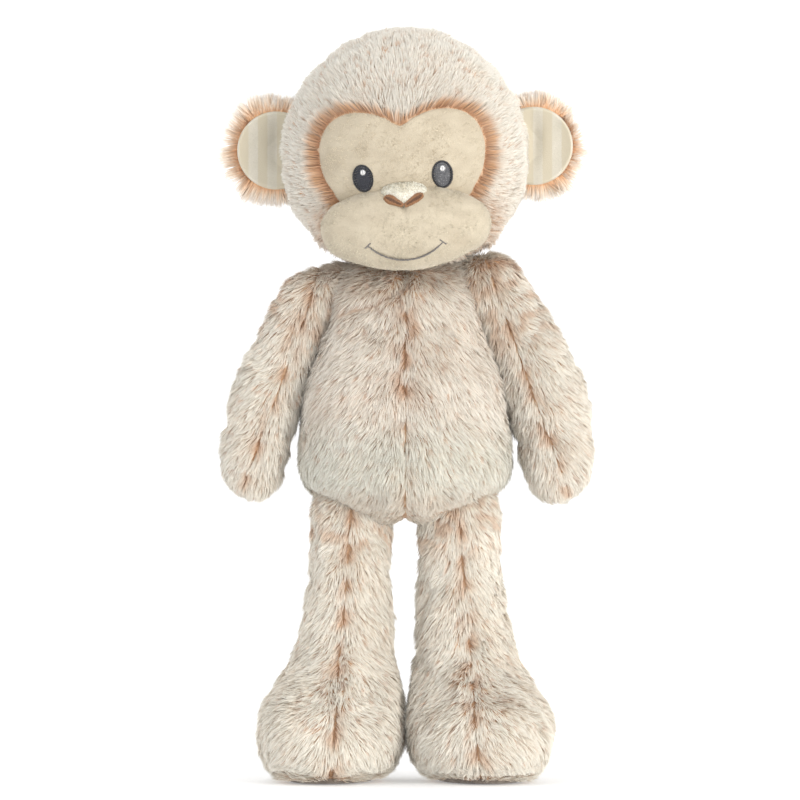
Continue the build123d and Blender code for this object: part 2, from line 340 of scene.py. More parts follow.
def thread_material(name, colour, shine=0.35):
    """Embroidery floss: fine twisted filaments with a silky gloss."""
    material, tree, shader = nodes_of(name)
    filaments = noise(tree, 2600, 2, (1, 1, 0.35))
    shade = ramp(tree, filaments.outputs["Fac"], [(0.3, colour * 0.7), (0.7, np.minimum(colour * 1.25, 1))])
    tree.links.new(shade.outputs["Color"], shader.inputs["Base Color"])
    bump(tree, shader, [filaments.outputs["Fac"]], 0.5, 0.15 * mm)
    cloth_finish(shader, 0.45, 0.1)
    shader.inputs["Specular IOR Level"].default_value = shine
    return material


def woven_material(name, low, high, scale=900):
    """A plain weave: two crossed sets of bands over slow patches of wear."""
    material, tree, shader = nodes_of(name)
    place = add(tree, "ShaderNodeTexCoord")
    heights = []
    for direction in ("X", "Y"):
        waves = add(tree, "ShaderNodeTexWave", wave_type="BANDS", bands_direction=direction)
        waves.inputs["Scale"].default_value = scale / 10
        tree.links.new(place.outputs["Object"], waves.inputs["Vector"])
        heights.append(waves.outputs["Fac"])
    patches = noise(tree, 120, 4)
    colour = ramp(tree, patches.outputs["Fac"], [(0.3, low), (0.7, high)])
    tree.links.new(colour.outputs["Color"], shader.inputs["Base Color"])
    bump(tree, shader, heights, 0.4, 0.25 * mm)
    cloth_finish(shader, 0.85, 0.3)
    return material


def floor_material():
    material, tree, shader = nodes_of("studio_floor")
    patches = noise(tree, 2, 2)
    colour = ramp(tree, patches.outputs["Fac"], [(0.3, (0.79, 0.79, 0.79)), (0.7, (0.81, 0.81, 0.81))])
    tree.links.new(colour.outputs["Color"], shader.inputs["Base Color"])
    shader.inputs["Roughness"].default_value = 0.9
    shader.inputs["Emission Color"].default_value = (1, 1, 1, 1)
    shader.inputs["Emission Strength"].default_value = 0.3
    return material


fur_material = fibre_material("fur_pile")
nose_pile_material = fibre_material("nose_pile", 0.85, 0.4)
backing = backing_material()
velour = velour_material("face_velour", linear(188, 176, 155), linear(205, 194, 173))
nose_velour = velour_material("nose_velour", linear(226, 219, 202), linear(240, 234, 219))
lining_stripe = (9.0 * mm, linear(206, 197, 176))
lining = velour_material("ear_lining", linear(212, 206, 190), linear(220, 214, 200), lining_stripe)
eye_dark = thread_material("eye_outline_thread", linear(48, 49, 54))
# painted sheen: both eyes are one dark grey thread; the lighter fill paints the thread's sheen on the toy's
# left eye, the darker fill serves the right eye
eye_fill_painted_sheen = thread_material("eye_fill_thread", linear(98, 99, 103))
eye_fill_unsheened = thread_material("eye_fill_thread_unsheened", linear(56, 58, 66))
eye_speck = thread_material("eye_needle_and_sheen_specks", linear(168, 168, 170))
eye_white = thread_material("eye_highlight_thread", linear(235, 235, 235))
nostril_brown = thread_material("nostril_thread", linear(150, 108, 74))
nostril_dark = thread_material("nostril_dark_thread", linear(104, 72, 50))
mouth_grey = thread_material("mouth_thread", linear(122, 118, 116))
seam_cream = thread_material("seam_thread", linear(214, 190, 160))
sole_cloth = woven_material("sole_cloth", linear(96, 86, 78), linear(140, 128, 116))
ribbon = woven_material("label_ribbon", linear(236, 236, 232), linear(250, 250, 248), 2200)


# Fur


def scatter(piece, per_mm2, seed, keep=None):
    """Random places on a surface: points, normals. keep says which points stay."""
    random = np.random.default_rng(seed)
    corners = triangles_of(piece.data)
    co, no = points_of(piece), normals_of(piece)
    a, b, c = (co[corners[:, k]] for k in range(3))
    areas = np.linalg.norm(np.cross(b - a, c - a), axis=1) / 2
    count = int(areas.sum() / mm**2 * per_mm2)
    chosen = random.choice(len(areas), count, p=areas / areas.sum())
    u, v = random.random((2, count, 1))
    flip = u + v > 1
    u, v = np.where(flip, 1 - u, u), np.where(flip, 1 - v, v)
    t = corners[chosen]
    points = co[t[:, 0]] * (1 - u - v) + co[t[:, 1]] * u + co[t[:, 2]] * v
    normals = unit(no[t[:, 0]] * (1 - u - v) + no[t[:, 1]] * u + no[t[:, 2]] * v)
    if keep is not None:
        stays = keep(points, normals)
        points, normals = points[stays], normals[stays]
    return points, normals


def leaders(points, every, random):
    """The nearest of a sparse set of strands, for each strand."""
    chosen = random.permutation(len(points))[: max(1, len(points) // every)]
    tree = KDTree(len(chosen))
    for number, index in enumerate(chosen):
        tree.insert(points[index], number)
    tree.balance()
    return chosen[np.array([tree.find(p)[1] for p in points])]


def fur(
    name, points, normals, flow, length, lift, colours, seed,
    width=0.38, tuft=12, gather=0.32, bends=2, mess=0.14, material=None, flat=True,
):
    """One mesh of tapered hairs, each a narrow bent leaf. flow is the way the pile is combed, lift how far
    it stands up, and colours its colour at root, middle and tip, with one row each for every hair."""
    random = np.random.default_rng(seed)
    count = len(points)
    if flat:
        flow = flow - (flow * normals).sum(1, keepdims=True) * normals
    flow = unit(flow)
    slow = wobble(points, 26 * mm, seed)
    quick = wobble(points, 6 * mm, seed + 1)
    stray = random.normal(size=(count, 3))
    length = (length * random.uniform(0.7, 1.1, count))[:, None]
    lift = np.broadcast_to(np.asarray(lift, float).reshape(-1, 1), (count, 1))
    gather = np.broadcast_to(np.asarray(gather, float).reshape(-1, 1), (count, 1))
    untidy = mess * (0.5 * quick + 0.4 * stray)
    start = unit(normals * (lift + 0.25) + flow * (1 - lift) + untidy + 0.1 * slow)
    finish = unit(normals * lift * 0.6 + flow + mess * (0.8 * quick + 0.5 * stray) + 0.18 * slow)
    line = [points - normals * 0.4 * mm]
    for step in range(bends):
        bend = (step + 0.5) / bends
        line.append(line[-1] + unit(start * (1 - bend) + finish * bend) * length / bends)
    leader = leaders(points, tuft, random)
    for step in range(1, bends + 1):
        share = step / bends
        pulled = line[step][leader] + (points - points[leader]) * (1 - 0.8 * share)
        line[step] += (pulled - line[step]) * gather * share
    roll = random.uniform(-0.8, 0.8, (count, 1))
    beside = unit(np.cross(start, normals) + 1e-6)
    across = unit(beside * np.cos(roll) + np.cross(start, beside) * np.sin(roll))
    radius = width * mm / 2 * random.uniform(0.7, 1.25, (count, 1))
    shapes, paints = [], []
    for step in range(bends):
        share = step / bends
        reach = across * radius * (1 - 0.35 * share)
        paint = blend_colours(colours, share)
        shapes += [line[step] - reach, line[step] + reach]
        paints += [paint, paint]
    shapes.append(line[bends])
    paints.append(blend_colours(colours, 1.0))
    per_hair = 2 * bends + 1
    shape_points = np.stack(shapes, 1).reshape(-1, 3)
    paint_points = np.stack(paints, 1).reshape(-1, 3)
    paint_points *= np.repeat(random.uniform(0.9, 1.06, (count, 1)), per_hair, 0)
    base = (np.arange(count) * per_hair)[:, None]
    quads = [base + 2 * step + np.array([0, 1, 3, 2]) for step in range(bends - 1)]
    tips = base + 2 * (bends - 1) + np.array([0, 1, 2])
    faces = [np.concatenate(quads), tips] if quads else [tips]
    piece = make_mesh(name, shape_points, faces, material or fur_material)
    paint_hairs(piece.data, paint_points, count, bends)
    return piece


def blend_colours(colours, share):
    root, middle, tip = colours
    if share < 0.5:
        return root + (middle - root) * (share / 0.5)
    return middle + (tip - middle) * ((share - 0.5) / 0.5)


def paint_hairs(mesh, paint, count, bends):
    """Puts the colours on the points, and gives each hair a cell of its own in a UV map."""
    colour = mesh.attributes.new("Pile", "FLOAT_COLOR", "POINT")
    rgba = np.ones((len(paint), 4), np.float32)
    rgba[:, :3] = np.clip(paint, 0, 1)
    colour.data.foreach_set("color", rgba.ravel())
    cells = math.ceil(math.sqrt(count))
    hair = np.arange(count)
    corner = np.stack([hair % cells, hair // cells], 1) / cells
    along = np.append(np.repeat(np.arange(bends), 2), bends) / bends
    around = np.append(np.tile([0.0, 1.0], bends), 0.5)
    inside = np.stack([around, along], 1) * 0.6 + 0.2
    places = (corner[:, None, :] + inside[None, :, :] / cells).reshape(-1, 2)
    layer = mesh.uv_layers.new(name="OFBake")
    index = np.empty(len(mesh.loops), np.int32)
    mesh.loops.foreach_get("vertex_index", index)
    layer.data.foreach_set("uv", places[index].astype(np.float32).ravel())


rust = linear(176, 120, 84)
tan = linear(230, 206, 182)
peach = linear(238, 196, 154)
cream = linear(254, 248, 239)
pile_per_mm2, hood_pile_per_mm2, fringe_per_mm2, velour_per_mm2 = 3.6, 3.8, 6.5, 9
pile_mm = 6.6
body_tone = np.array([0.93, 0.94, 0.94])
# painted shade: the body's fur is darker towards the lower belly and the hips
belly_painted_shade = np.array([0.09, 0.05, 0.05])
hip_painted_shade = np.array([0.06, 0.11, 0.13])
limb_tones = {"arm": np.array([0.92, 0.945, 0.945]), "leg": np.array([0.97, 1.0, 1.0])}
hood_tone = np.array([0.86, 0.89, 0.9])


def pile_colours(points, seed, warmth=0.0):
    """Root, middle and tip colours over the body: brown roots, cream tips, and slow patches between."""
    patch = smooth_step(wobble(points, 34 * mm, seed)[:, :1] * 0.35 + 0.4)
    fleck = smooth_step(wobble(points, 6 * mm, seed + 5)[:, :1] * 1.1 - 0.75)
    warm = np.clip(np.asarray(warmth, float).reshape(-1, 1), 0, 1)
    bare = np.maximum(warm, 0.75 * fleck)
    root = tan * (1 - bare) + rust * bare
    middle = linear(251, 241, 228) * (1 - 0.4 * patch) + linear(240, 219, 198) * 0.4 * patch
    middle = middle * (1 - 0.75 * bare) + linear(206, 152, 108) * 0.75 * bare
    tip = cream * (1 - 0.5 * warm) + peach * 0.5 * warm
    return root, middle, tip


# Soft bodies

cloth_cell = 3.2 * mm
seam_held = 1.8 * mm
pressure = 2.5
body_cap, limb_cap = 3.0 * mm, 2.2 * mm
sole_top = 1.8 * mm
lowest_hair = 0.4 * mm


def copied(name, *nodes):
    """A new object with the surfaces of some CAD nodes."""
    points, faces, offset = [], [], 0
    for node in nodes:
        source = frame["nodes"][node]
        points.append(points_of(source))
        faces.append(triangles_of(source.data) + offset)
        offset += len(points[-1])
    return make_mesh(name, np.concatenate(points), [np.concatenate(faces)])


def remeshed(piece, voxel):
    piece.modifiers.new("Remesh", "REMESH").mode = "VOXEL"
    piece.modifiers["Remesh"].voxel_size = voxel
    with_modifiers(piece)


def relaxed(piece, rounds):
    smooth = piece.modifiers.new("Smooth", "SMOOTH")
    smooth.iterations = rounds
    smooth.factor = 0.5
    with_modifiers(piece)


def subdivided(piece, levels=1):
    piece.modifiers.new("Subdivision", "SUBSURF").levels = levels
    with_modifiers(piece)


def puffed(piece, pinned, cap):
    """Stuffs the piece: cloth with pressure inside, held at its seams, no point moving further than cap."""
    before = points_of(piece)
    group = piece.vertex_groups.new(name="seams")
    for index in np.nonzero(pinned)[0]:
        group.add([int(index)], 1.0, "REPLACE")
    cloth = piece.modifiers.new("Cloth", "CLOTH")
    cloth.settings.use_pressure = True
    cloth.settings.uniform_pressure_force = pressure
    cloth.settings.effector_weights.gravity = 0
    cloth.settings.quality = 4
    cloth.settings.vertex_group_mass = "seams"
    cloth.settings.shrink_min = -0.02
    cloth.point_cache.frame_start = 1
    cloth.point_cache.frame_end = 14
    for number in range(1, 15):
        bpy.context.scene.frame_set(number)
    with_modifiers(piece)
    bpy.context.scene.frame_set(1)
    step = points_of(piece) - before
    size = np.linalg.norm(step, axis=1, keepdims=True)
    move_points(piece, before + step * np.minimum(1, cap / np.maximum(size, 1e-9)))


def groove(piece, distance, depth, width, where=1.0):
    """Pulls the surface in along a seam: distance is each point's distance from it."""
    pull = depth * bell(distance, width) * where
    move_points(piece, points_of(piece) - normals_of(piece) * pull[:, None])


def swollen(piece, amount):
    move_points(piece, points_of(piece) + normals_of(piece) * amount)


def with_ball(piece, centre, radius):
    """Adds a ball to a piece that is about to be remeshed into one skin."""
    work = bmesh.new()
    work.from_mesh(piece.data)
    place = Matrix.Translation(Vector(centre))
    bmesh.ops.create_icosphere(work, subdivisions=3, radius=radius, matrix=place)
    work.to_mesh(piece.data)
    work.free()


def limb_skin(name, node, seam_normal, seam_point, extra, ball=None):
    """A limb's fabric: the CAD limb, stuffed, drawn in along the seam that runs down its front and back."""
    piece = copied(name, node)
    if ball:
        with_ball(piece, *ball)
    remeshed(piece, cloth_cell)
    relaxed(piece, 4)
    swollen(piece, extra)
    offset = np.abs((points_of(piece) - seam_point) @ seam_normal)
    puffed(piece, offset < seam_held, limb_cap)
    subdivided(piece)
    offset = np.abs((points_of(piece) - seam_point) @ seam_normal)
    groove(piece, offset, 0.8 * mm, 3.2 * mm)
    piece.data.materials.clear()
    piece.data.materials.append(backing)
    return piece


def hull_skin(name, nodes, balls):
    """The body's fabric: the outline that closes over the room the CAD body leaves for the legs."""
    piece = copied(name, *nodes)
    work = bmesh.new()
    work.from_mesh(piece.data)
    made = bmesh.ops.convex_hull(work, input=work.verts)
    inner = [v for v in made["geom_interior"] if isinstance(v, bmesh.types.BMVert)]
    bmesh.ops.delete(work, geom=inner, context="VERTS")
    loose = [v for v in work.verts if not v.link_faces]
    bmesh.ops.delete(work, geom=loose, context="VERTS")
    work.to_mesh(piece.data)
    work.free()
    for ball in balls:
        with_ball(piece, *ball)
    remeshed(piece, cloth_cell)
    relaxed(piece, 8)
    swollen(piece, 1.9 * mm)
    return piece


# The body


def fold_distance(points):
    """How far each point is from the crease that runs from the throat across the right of the chest."""
    share = np.clip(-points[:, 0] / (28 * mm), 0, 1)
    height = (235 - 13 * share**0.6) * mm
    beyond = np.maximum(0, -points[:, 0] - 28 * mm) + np.maximum(0, points[:, 0] - 1 * mm) * 3
    return np.hypot(points[:, 2] - height, beyond)


neck = np.array([0, 3 * mm, torso_high[2] - 5 * mm])
collar_balls = ((15, 0, 12), (-15, 0, 12), (0, 0, 13), (31, -3, 11.5), (-31, -4, 11.5))
torso = hull_skin(
    "body_skin", ("torso_front_left", "torso_front_right", "torso_back_left", "torso_back_right"),
    [(neck + np.array([x, 0, z]) * mm, r * mm) for x, z, r in collar_balls],
)
torso_seam = points_of(torso)[:, 0]
puffed(torso, np.abs(torso_seam) < seam_held, body_cap)
subdivided(torso)
groove(torso, np.abs(points_of(torso)[:, 0]), 1.0 * mm, 3.6 * mm)
on_front = normals_of(torso)[:, 1] < -0.2
groove(torso, fold_distance(points_of(torso)), 1.6 * mm, 2.2 * mm, on_front)
raised = points_of(torso)
crotch = smooth_step((140 * mm - raised[:, 2]) / (18 * mm))
raised[:, 2] += 4 * mm * crotch * bell(raised[:, 0], 18 * mm)
move_points(torso, raised)
torso.data.materials.append(backing)
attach(torso, "torso")
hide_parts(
    "torso_stuffing", "torso_front_left", "torso_front_right", "torso_back_left", "torso_back_right"
)

down = np.array([0.0, 0.0, -1.0])


def seam_patches(points):
    """Where the pile parts along a seam, from 0 to 1."""
    return smooth_step(wobble(points, 16 * mm, 77)[:, 0] * 0.6 + 0.45)


def body_flow(points, seam_x=0.0):
    """Combed down, and away from the seam that runs down the middle."""
    offset = points[:, 0] - seam_x
    far = smooth_step(np.abs(offset) / (30 * mm))
    aside = np.sign(offset) * (0.05 + 0.3 * seam_patches(points) + 0.55 * far)
    flow = np.tile(down, (len(points), 1))
    flow[:, 0] += aside
    return flow


def seam_warmth(points, offset, width=4.0):
    """Where the brown roots show along a seam: in patches, and not quite straight."""
    patch = seam_patches(points)
    sway = 1.2 * mm * wobble(points, 20 * mm, 78)[:, 0]
    return bell(offset + sway, width * mm) * patch


for part, forward in (("front", -1), ("back", 1)):
    roots, normals = scatter(
        torso, pile_per_mm2, 11 + forward, lambda p, n: (p[:, 1] - torso_middle[1]) * forward > 0
    )
    chest = 0.3 + 0.7 * smooth_step((roots[:, 2] - 165 * mm) / (25 * mm))
    warm = seam_warmth(roots, roots[:, 0]) * chest
    if part == "front":
        # painted shade: along the chest crease the hairs take the roots' brown, for roots showing where the
        # pile parts and for the shade in the crease
        warm = np.maximum(warm, 0.7 * bell(fold_distance(roots), 1.6 * mm))
    under = smooth_step((142 * mm - roots[:, 2]) / (16 * mm))
    collar = smooth_step((roots[:, 2] - 232 * mm) / (10 * mm))
    length = (pile_mm - 2.6 * under) * mm
    for name, side in sides.items():
        half = roots[:, 0] * side > 0
        # painted shade, darker towards the lower belly and the hips
        belly = smooth_step((182 * mm - roots[half][:, 2:]) / (30 * mm))
        hips = smooth_step((146 * mm - roots[half][:, 2:]) / (14 * mm))
        tone = body_tone - belly_painted_shade * belly - hip_painted_shade * hips
        colours = [colour * tone for colour in pile_colours(roots[half], 31, warm[half])]
        piece = fur(
            f"body_fur_{part}_{name}", roots[half], normals[half], body_flow(roots[half]), length[half],
            (0.26 + 0.12 * warm + 0.2 * collar)[half], colours, 41 + forward + side,
        )
        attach(piece, "torso")

# Arms and legs


def limb(kind, name, side):
    body = f"{kind}_{name}"
    node = f"{kind}_stuffing_{name}"
    low, high = box(node)
    if kind == "arm":
        top = pivot(f"arm_swing_{name}")
        hand = np.array([side * (max(abs(low[0]), abs(high[0])) - 12 * mm), 0, low[2] + 14 * mm])
    else:
        top = pivot(f"leg_swing_{name}")
        sole_low, sole_high = box(f"sole_{name}")
        hand = np.array([(sole_low[0] + sole_high[0]) / 2, 0, 0])
    axis = unit(hand - top)
    seam_normal = unit(np.cross(axis, [0, 1, 0]))
    ball, extra = None, 1.9 * mm
    if kind == "arm":
        ball = (top + np.array([-6.0 * side, 1, 4.4 + 1.8 * side]) * mm, (13.2 + 0.9 * side) * mm)
        extra = (2.2 + 0.8 * side) * mm
    skin_piece = limb_skin(f"{body}_skin", node, seam_normal, top, extra, ball)
    if kind == "arm":
        fuller = points_of(skin_piece)
        outside = smooth_step(((fuller - top) @ seam_normal) * np.sign(seam_normal[0]) * side / (8 * mm))
        along = np.clip(((fuller - top) @ axis) / np.linalg.norm(hand - top), 0, 1)
        bulge = np.sin(np.pi * np.clip(along * 1.15, 0, 1))
        fuller[:, 0] += side * (2.6 + 1.4 * side) * mm * outside * bulge
        move_points(skin_piece, fuller)
    if kind == "leg":
        keep_above(skin_piece, sole_top)
    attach(skin_piece, body)
    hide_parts(node, f"{kind}_inner_{name}", f"{kind}_outer_{name}")

    def combed(points):
        offset = (points - top) @ seam_normal
        far = smooth_step(np.abs(offset) / (14 * mm))
        aside = np.sign(offset) * (0.05 + 0.3 * seam_patches(points) + 0.5 * far)
        return axis + seam_normal * aside[:, None]

    for place, way in (("inner", -1), ("outer", 1)):
        seed = 100 + 10 * side + way + (40 if kind == "leg" else 0)

        def keep(points, normals):
            half = (points - top) @ seam_normal * way * np.sign(seam_normal[0] * side) > 0
            return half & (points[:, 2] > 1.9 * mm) & (normals[:, 2] > -0.95)

        roots, normals = scatter(skin_piece, pile_per_mm2, seed, keep)
        offset = np.abs((roots - top) @ seam_normal)
        warm = 0.8 * seam_warmth(roots, offset, 2.8) * (np.abs(normals[:, 1]) > 0.5)
        flow = combed(roots)
        tip = 0 * offset
        if kind == "arm":
            reach = (roots - top) @ axis
            tip = smooth_step((reach - reach.max() + 16 * mm) / (14 * mm))
            shoulder_patch = smooth_step(wobble(roots, 12 * mm, seed + 9)[:, 0] * 0.6 + 0.3)
            warm = np.maximum(warm, 0.75 * shoulder_patch * smooth_step((30 * mm - reach) / (20 * mm)))
            flow = flow * (1 - tip[:, None]) + axis * tip[:, None]
        else:
            hip_patch = smooth_step(wobble(roots, 10 * mm, seed + 9)[:, 0] * 0.7 + 0.2)
            warm = np.maximum(warm, 0.7 * hip_patch * smooth_step((roots[:, 2] - 104 * mm) / (12 * mm)))
        if kind == "leg":
            low_down = smooth_step((16 * mm - roots[:, 2]) / (12 * mm))[:, None]
            flow = flow * (1 - 0.8 * low_down) + normals * low_down * 0.2
            flow = flow + np.stack([normals[:, 0], normals[:, 1], 0 * normals[:, 0]], 1) * low_down * 0.6
        length = (pile_mm - 1.6 * tip) * mm
        piece = fur(
            f"{body}_fur_{place}", roots, normals, flow, length, 0.28 + 0.1 * warm + 0.25 * tip,
            [colour * limb_tones[kind] for colour in pile_colours(roots, seed, warm)], seed,
        )
        keep_above(piece, lowest_hair)
        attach(piece, body)


for name, side in sides.items():
    for kind in ("arm", "leg"):
        limb(kind, name, side)


# Soles


def sole(name, side):
    """A flat dark sole, turned up a little all round where it is stitched on."""
    low, high = box(f"sole_{name}")
    centre = (low + high) / 2
    turn = side * math.radians(12)
    across, along = ((high - low) / 2)[:2]
    total, difference = across**2 + along**2, (along**2 - across**2) / math.cos(2 * turn)
    wide, long = math.sqrt((total - difference) / 2), math.sqrt((total + difference) / 2)
    around = full_circle(96)
    profile = [
        (0.0, 0.5), (0.5, 0.3), (0.8, 0.1), (0.95, 0.2), (1.04, 1.0), (1.09, 2.4), (1.10, 3.4), (1.0, 3.8),
        (0.6, 3.8), (0.0, 3.8),
    ]
    rows = []
    for share, height in profile:
        x = np.cos(around) * share * wide
        y = np.sin(around) * share * long
        turned_x = x * math.cos(turn) - y * math.sin(turn)
        turned_y = x * math.sin(turn) + y * math.cos(turn)
        level = np.full(len(around), height * mm)
        rows.append(np.stack([centre[0] + turned_x, centre[1] + turned_y, level], 1))
    faces = grid_faces(len(profile), len(around))[:, ::-1]
    piece = make_mesh(f"sole_cloth_{name}", np.concatenate(rows), [faces], sole_cloth)
    subdivided(piece)
    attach(piece, f"leg_{name}")
    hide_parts(f"sole_{name}")


for name, side in sides.items():
    sole(name, side)

# Head

brow_half = [
    (0, 8.4), (7, 12.2), (14, 14.9), (21.5, 15.8), (29, 14.4), (35, 10), (38.4, 2.8),
    (39.0, -4.3), (37.4, -13), (33.6, -20), (28.8, -26.2), (14, -30),
]
brow_line = np.array(brow_half + [(0, -30.5)] + [(-x, y) for x, y in reversed(brow_half[1:])]) * mm


def closed_curve(points, steps):
    """A smooth closed curve through some points."""
    before, after = np.roll(points, 1, 0), np.roll(points, -1, 0)
    beyond = np.roll(points, -2, 0)
    t = (np.arange(steps) / steps)[None, :, None]
    a, b, c, d = before[:, None], points[:, None], after[:, None], beyond[:, None]
    curve = 0.5 * (
        2 * b + (c - a) * t + (2 * a - 5 * b + 4 * c - d) * t**2 + (3 * b - a - 3 * c + d) * t**3
    )
    return curve.reshape(-1, 2)


brow_curve = closed_curve(brow_line, 8)
brow_middle = np.array([0.0, -8.0]) * mm


def brow_share(uv):
    """How far out each face point is from the brow panel's middle, where its edge is 1."""
    edge = brow_curve - brow_middle
    edge_angle = np.arctan2(edge[:, 1], edge[:, 0])
    order = np.argsort(edge_angle)
    reach = np.linalg.norm(edge, axis=1)[order]
    flat = uv - brow_middle
    angle = np.arctan2(flat[:, 1], flat[:, 0])
    limit = np.interp(angle, edge_angle[order], reach, period=2 * math.pi)
    return np.linalg.norm(flat, axis=1) / limit


muzzle_half = 39.5 * mm
muzzle_radius = 20 * mm
muzzle_end = 14 * mm
muzzle_centre = np.array([0.0, -38.5, 44.0]) * mm


def muzzle_reach(u):
    """The muzzle's radius at each place across it: round ends joined by a bulging arc."""
    end = muzzle_half - muzzle_end
    taper = muzzle_radius - muzzle_end
    arc = (end**2 - taper**2) / (2 * taper)
    big = arc + muzzle_radius
    touch = end / math.hypot(end, arc) * big
    middle = np.sqrt(np.maximum(big**2 - u**2, 0)) - arc
    ends = np.sqrt(np.maximum(muzzle_end**2 - (np.abs(u) - end) ** 2, 0))
    return np.where(np.abs(u) < touch, middle, ends)


def muzzle_share(points):
    """Below 1 inside the muzzle, given face points."""
    local = points - muzzle_centre
    inside = np.abs(local[:, 0]) < muzzle_half
    reach = np.where(inside, muzzle_reach(np.clip(local[:, 0], -muzzle_half, muzzle_half)), 1e-6)
    return np.where(inside, np.hypot(local[:, 1], local[:, 2]) / np.maximum(reach, 1e-6), 9)


def muzzle_gap(points):
    """How far each face point is outside the muzzle's outline, as seen from in front."""
    local = points - muzzle_centre
    end = muzzle_half - muzzle_end
    beyond = np.maximum(np.abs(local[:, 0]) - end, 0)
    radius = np.interp(np.abs(local[:, 0]), (0, end), (muzzle_radius, muzzle_end))
    return np.maximum(np.hypot(beyond, local[:, 1]) - radius, 0)


# The head's fabric under the fur, sunk below the face panels


def head_skin():
    rows, columns = 120, 200
    directions = ball_directions(rows, columns, 0.004)
    points = head_centre + directions * head_radius
    face = to_face(points)
    in_front = face[:, 2] > 0
    share = brow_share(face[:, :2])
    sunk = np.where(in_front, 2.5 * mm, 0) * smooth_step((0.96 - share) / 0.06)
    off_face = np.where(in_front, smooth_step((share - 1.02) / 0.3), 1)
    sunk += 0.3 * mm * bell(np.abs(face[:, 0]), 3 * mm) * (face[:, 2] < 0)
    height = points[:, 2] - head_centre[2]
    cheek = 4.2 * mm * bell(height + 31 * mm, 17 * mm) * directions[:, 0] ** 2
    beside_ears = 2.0 * mm * bell(height + 6 * mm, 22 * mm) * directions[:, 0] ** 4
    points = points + directions * ((cheek + beside_ears) * off_face - sunk)[:, None]
    return make_mesh("head_skin", points, [grid_faces(rows, columns)[:, ::-1]], backing)


head = head_skin()
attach(head, "head")
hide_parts("hood_left", "hood_right", "head_stuffing")


def hood_flow(points):
    """Combed away from the face, over the crown and round the cheeks to the back."""
    local = to_face(points) - np.array([0, -8, 0]) * mm
    away = local * np.array([1.0, 1.0, 0.0])
    back = smooth_step((22 * mm - local[:, 2:]) / (40 * mm))
    backward = smooth_step((local[:, 2:] + 35 * mm) / (40 * mm))
    flow = unit(away) * (1 - back) + (np.array([0, -1.0, 0]) - np.array([0, 0, 1.1]) * backward) * back
    return flow @ face_axes


def hood(name, side):
    def keep(points, normals):
        local = to_face(points)
        on_side = local[:, 0] * side > 0
        on_face = (brow_share(local[:, :2]) < 0.985) & (local[:, 2] > 0)
        return on_side & ~on_face & (muzzle_share(local) > 0.94)

    seed = 300
    roots, normals = scatter(head, hood_pile_per_mm2, seed, keep)
    normals = unit(roots - head_centre)
    local = to_face(roots)
    edge = brow_share(local[:, :2])
    beside_face = np.exp(-np.maximum(edge - 1, 0) / 0.065) * (local[:, 2] > 0)
    forward = smooth_step((local[:, 2] + 14 * mm) / (14 * mm))
    beside_muzzle = np.exp(-muzzle_gap(local) / (3.6 * mm)) * forward
    near = np.maximum(beside_face, 0.8 * beside_muzzle)
    streak = smooth_step(wobble(roots, 4 * mm, 341)[:, 0] * 0.8 + 0.5)
    root, middle, tip = pile_colours(roots, 331, 0.95 * near)
    ginger = (near * (0.3 + 0.6 * streak))[:, None]
    middle = middle * (1 - ginger) + linear(218, 170, 130) * ginger
    tip = tip * (1 - 0.85 * near[:, None]) + linear(254, 248, 238) * 0.85 * near[:, None]
    piece = fur(
        f"hood_fur_{name}", roots, normals, hood_flow(roots), (5.8 + 5.4 * near) * mm, 0.26 + 0.14 * near,
        (root * hood_tone, middle * hood_tone, tip * hood_tone), seed, gather=0.3 + 0.42 * near,
    )
    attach(piece, "head")


for name, side in sides.items():
    hood(name, side)


def brow_panel():
    """The velour brow: a puffed heart that tucks in under the fur all round."""
    steps = len(brow_curve)
    shares = np.concatenate([np.linspace(0.001, 0.9, 40), np.linspace(0.92, 1.02, 10)])
    rows = []
    for share in shares:
        flat = brow_middle + (brow_curve - brow_middle) * share
        depth = np.sqrt(head_radius**2 - (flat**2).sum(1))
        rise = (0.9 * (1 - share**8) + 0.25 - 0.9 * (max(0, share - 0.96) / 0.06) ** 2) * mm
        lengthened = (depth + rise)[:, None]
        rows.append(np.concatenate([flat, lengthened], 1))
    back = [row - np.array([0, 0, 2.2 * mm]) for row in reversed(rows)]
    points = np.concatenate(rows + back)
    piece = make_mesh("brow_velour", from_face(points), [grid_faces(2 * len(rows), steps)], velour)
    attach(piece, "head")
    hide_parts("brow_panel")
    return piece


eye_places = (("left", 1, -1.0), ("right", -1, 10.0))
eye_half = np.array([5.0, 6.5]) * mm
mouth_half, mouth_corner, mouth_low = 17.5 * mm, -46.9 * mm, -54.3 * mm
mouth_radius = (mouth_half**2 + (mouth_corner - mouth_low) ** 2) / (2 * (mouth_corner - mouth_low))
mouth_centre = np.array([0, mouth_low + mouth_radius])


def eye_centre(side):
    return np.array([side * 18.6, -15.1]) * mm


def eye_share(points):
    """Below 1 on an eye, given face points."""
    shares = []
    for _, side, tilt in eye_places:
        local = turned(points[:, :2] - eye_centre(side), -tilt) / eye_half
        shares.append(np.hypot(local[:, 0], local[:, 1]))
    return np.minimum(*shares)


def mouth_distance(points):
    """How far each face point is from the line of the mouth."""
    away = points[:, :2] - mouth_centre
    ring = np.abs(np.linalg.norm(away, axis=1) - mouth_radius)
    beyond = np.maximum(0, np.abs(points[:, 0]) - mouth_half)
    return np.hypot(ring, beyond) + np.where(away[:, 1] > 0, 1.0, 0.0)


def turned(points, degrees):
    a = math.radians(degrees)
    return points @ np.array([[math.cos(a), math.sin(a)], [-math.sin(a), math.cos(a)]])


